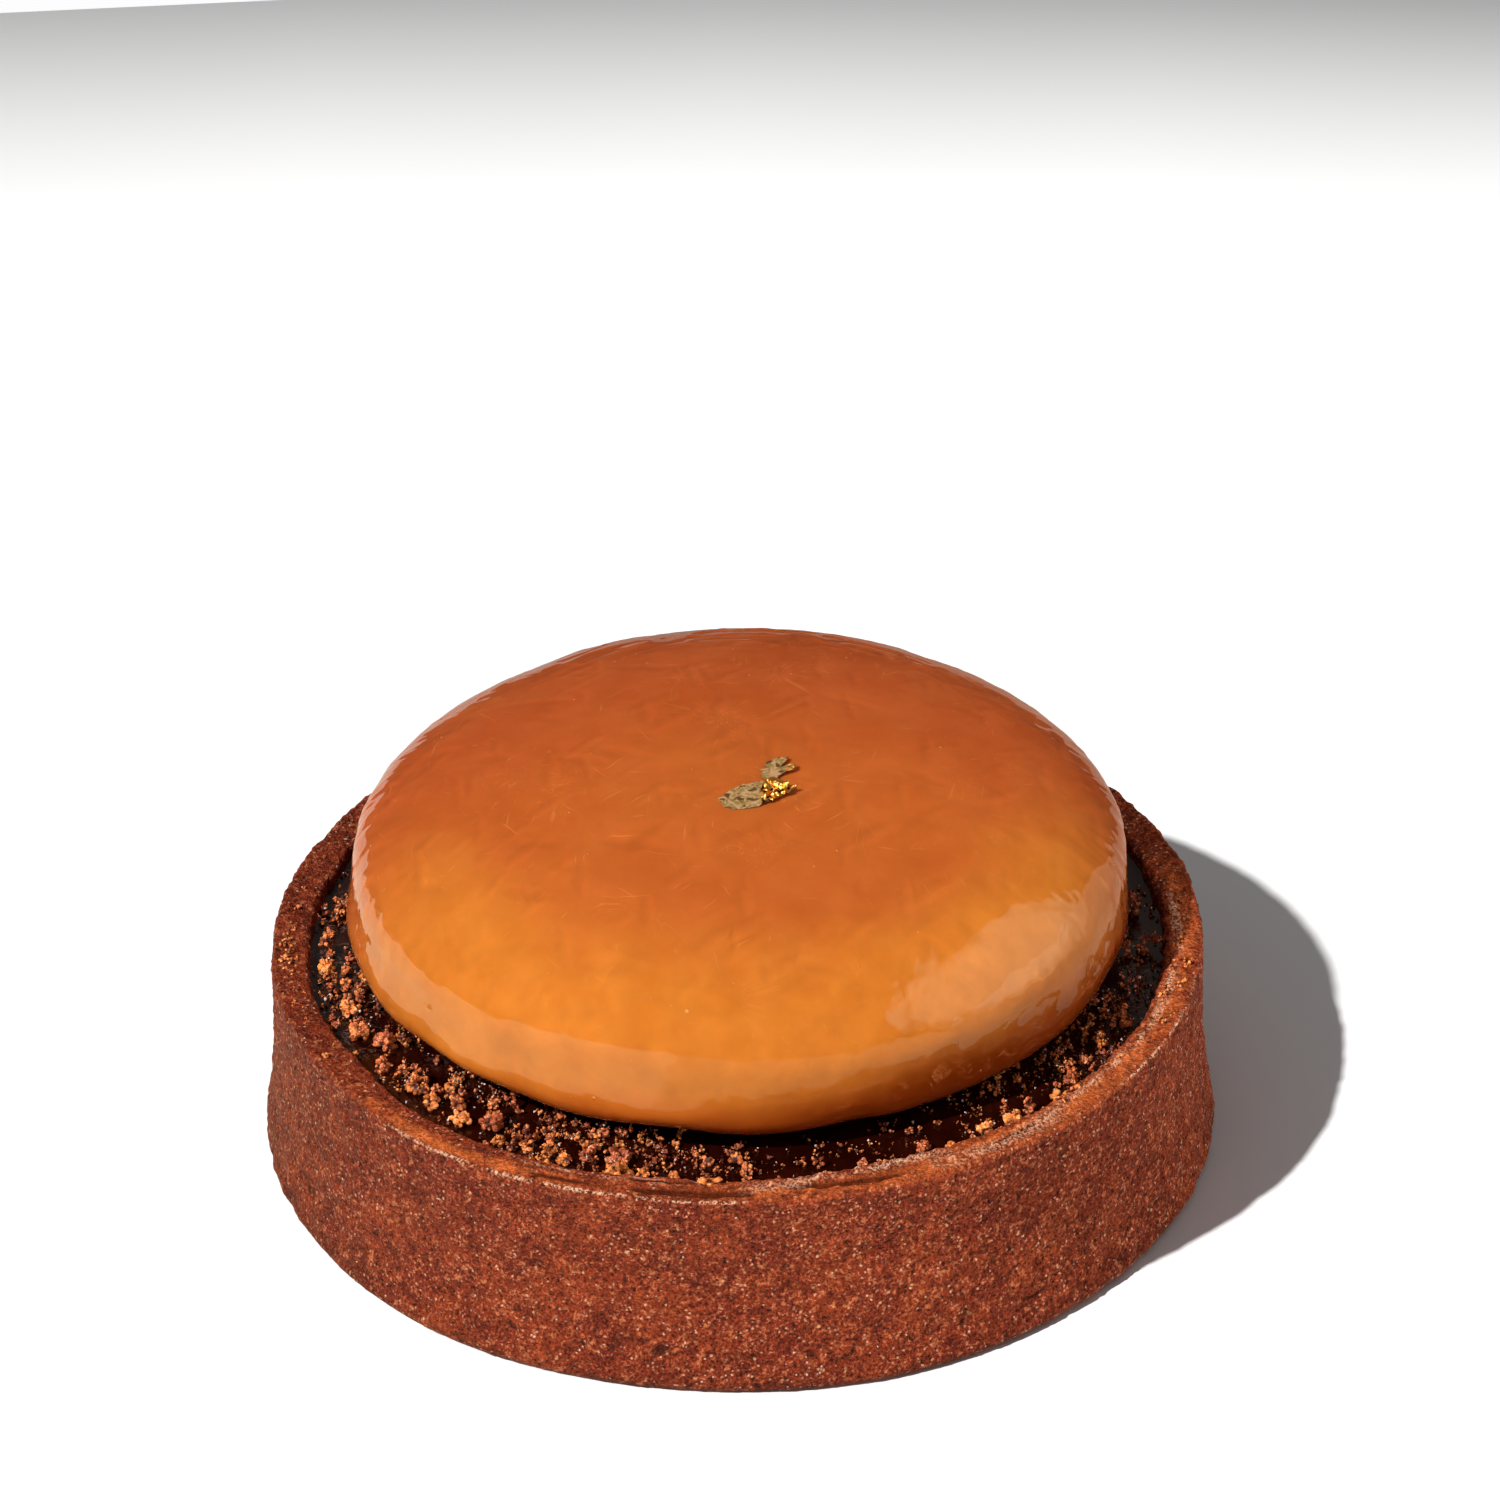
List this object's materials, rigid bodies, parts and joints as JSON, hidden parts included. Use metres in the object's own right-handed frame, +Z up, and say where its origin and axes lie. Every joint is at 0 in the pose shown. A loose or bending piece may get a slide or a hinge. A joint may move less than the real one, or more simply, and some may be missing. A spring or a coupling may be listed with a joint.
{
  "type": "chocolate tart",
  "caption": "Round chocolate tartlet: cocoa shortcrust shell filled with dark ganache, with biscuit crumbs, a caramel-glazed dome and a flake of gold leaf on top.",
  "frame": {"origin": "centre of the shell's flat underside", "axes": "+Z up through the dome, -Y towards the front, where the gold leaf lies nearer"},
  "size_m": [0.0824, 0.0834, 0.037],
  "materials": {
    "cocoa_crust": "baked cocoa shortcrust, dry and sandy with fine pale grains",
    "dark_ganache": "near-black glossy chocolate ganache",
    "caramel_glaze": "wet mirror glaze of caramel, slightly translucent",
    "crumbs": "crushed baked biscuit, from orange-brown to dark brown",
    "gold_leaf": "crumpled edible gold leaf"
  },
  "bodies": {
    "root": {"tart_shell": "cocoa_crust", "ganache_with_crumbs": "dark_ganache", "caramel_dome": "caramel_glaze", "gold_leaf": "gold_leaf"}
  },
  "joints": []
}
